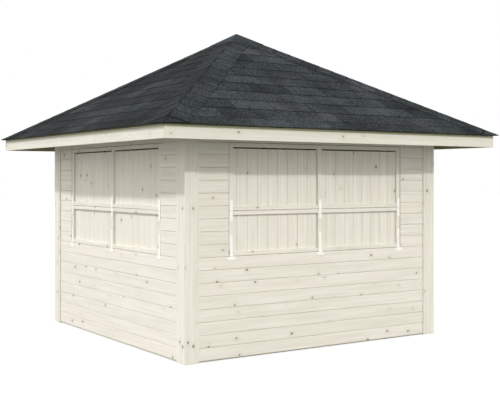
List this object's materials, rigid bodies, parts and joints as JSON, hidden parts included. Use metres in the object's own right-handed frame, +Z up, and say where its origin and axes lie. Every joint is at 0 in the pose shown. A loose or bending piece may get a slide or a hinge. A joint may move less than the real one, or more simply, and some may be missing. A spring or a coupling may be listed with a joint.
{
  "type": "garden gazebo",
  "caption": "Square timber garden gazebo with boarded walls, wide bi-fold window shutters on strap hinges, an open doorway and a hipped shingle roof with deep open eaves.",
  "frame": {"origin": "centre of the plan, on the ground under the posts", "axes": "+Z up, the front wall with a window faces -Y, the left wall with a window faces -X, the doorway faces +Y"},
  "size_m": [3.934, 3.934, 3.2105],
  "materials": {
    "pale_timber": "whitewashed planed spruce, matte",
    "frame_timber": "untreated planed spruce, matte",
    "shingle": "granule-faced bitumen shingle, matte",
    "roof_cap": "granule-faced bitumen cap strip, matte",
    "hinge_white": "white painted steel, satin"
  },
  "bodies": {
    "root": {"front_left_post": "pale_timber", "front_right_post": "pale_timber", "back_left_post": "pale_timber", "back_right_post": "pale_timber", "corner_laths": "pale_timber", "head_boards": "pale_timber", "back_boards": "pale_timber", "fascia_boards": "pale_timber", "front_lower_boards": "pale_timber", "front_side_boards": "pale_timber", "front_lower_shutter": "pale_timber", "front_upper_shutter": "pale_timber", "left_lower_boards": "pale_timber", "left_side_boards": "pale_timber", "left_lower_shutter": "pale_timber", "left_upper_shutter": "pale_timber", "right_lower_boards": "pale_timber", "right_side_boards": "pale_timber", "right_lower_shutter": "pale_timber", "right_upper_shutter": "pale_timber", "front_top_beam": "frame_timber", "back_top_beam": "frame_timber", "left_top_beam": "frame_timber", "right_top_beam": "frame_timber", "back_studs": "frame_timber", "back_rails": "frame_timber", "roof_deck": "frame_timber", "hip_rafters": "frame_timber", "jack_rafters": "frame_timber", "king_block": "frame_timber", "front_studs": "frame_timber", "front_rails": "frame_timber", "left_studs": "frame_timber", "left_rails": "frame_timber", "right_studs": "frame_timber", "right_rails": "frame_timber", "front_shingles": "shingle", "back_shingles": "shingle", "left_shingles": "shingle", "right_shingles": "shingle", "hip_caps": "roof_cap", "apex_cap": "roof_cap", "front_hinges": "hinge_white", "left_hinges": "hinge_white", "right_hinges": "hinge_white"}
  },
  "joints": []
}
